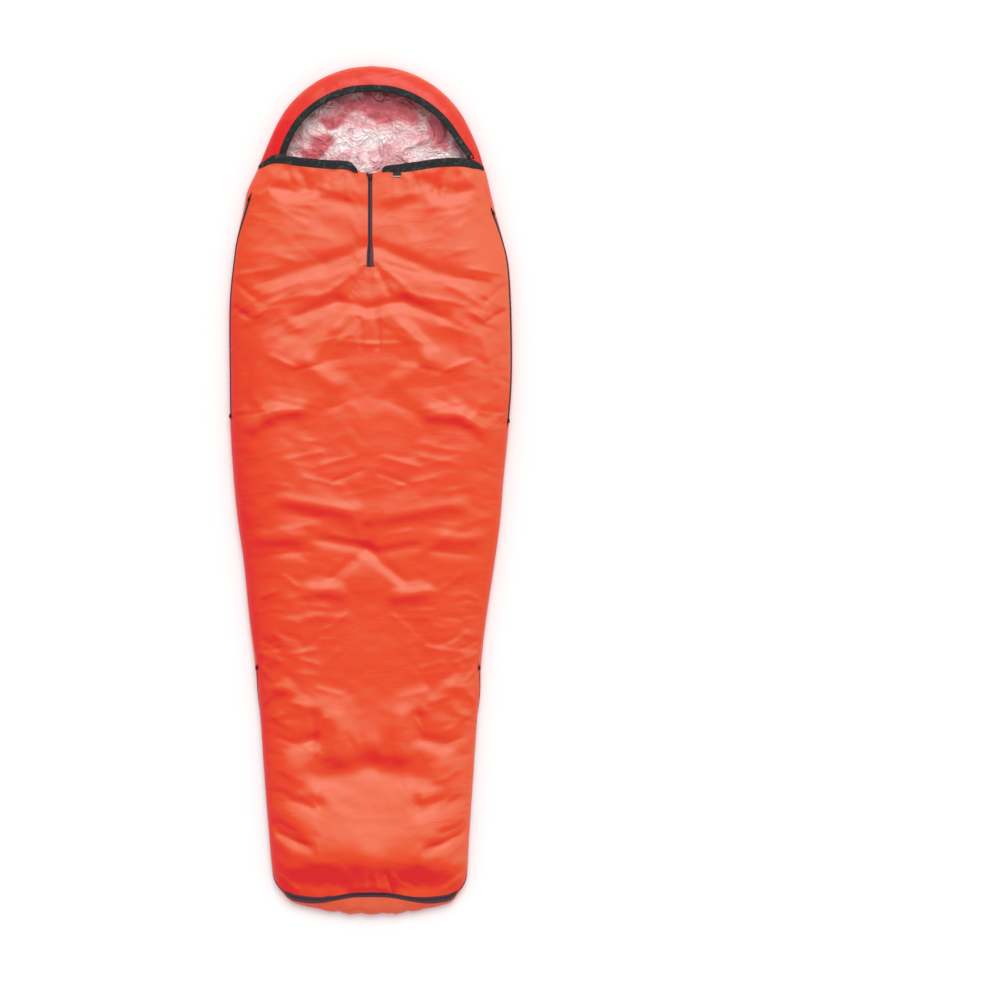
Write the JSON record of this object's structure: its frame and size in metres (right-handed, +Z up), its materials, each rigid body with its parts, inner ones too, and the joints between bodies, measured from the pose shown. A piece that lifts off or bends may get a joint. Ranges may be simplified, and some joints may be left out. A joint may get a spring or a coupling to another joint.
{
  "type": "sleeping bag liner laid out flat",
  "caption": "Mummy-shaped insulating bag liner lying open on its back, with a foil-lined hood, dark bound rim and neck, and zips at the chest, sides and foot.",
  "frame": {"origin": "on the ground under the middle of the bag", "axes": "+Y along the bag to the head, +Z up out of the face of the bag, +X to the sleeper's left when lying on the back"},
  "size_m": [0.7006, 2.0979, 0.0749],
  "materials": {
    "outer_cloth": "coated satin orange cloth, softly creased",
    "foil_lining": "crinkled silver foil laminate",
    "black_tape": "woven near-black binding tape",
    "zip_tape": "dark plum coil zip on woven tape",
    "slider": "dark satin",
    "loop_cord": "fine dark red cord"
  },
  "bodies": {
    "root": {"back_panel": "outer_cloth", "back_edge": "outer_cloth", "front_panel": "outer_cloth", "hood": "outer_cloth", "lining": "foil_lining", "hood_binding": "black_tape", "neck_binding_left": "black_tape", "neck_binding_right": "black_tape", "front_zip": "zip_tape", "side_zip_left": "zip_tape", "side_zip_right": "zip_tape", "foot_zip": "zip_tape", "side_zip_slider_left_top": "slider", "side_zip_slider_right_top": "slider", "side_zip_slider_left_low": "slider", "side_zip_slider_right_low": "slider", "foot_zip_slider_left": "slider", "foot_zip_slider_right": "slider", "front_zip_slider": "slider", "front_zip_pull": "slider", "label_tab": "black_tape", "hood_loop": "loop_cord"}
  },
  "joints": []
}
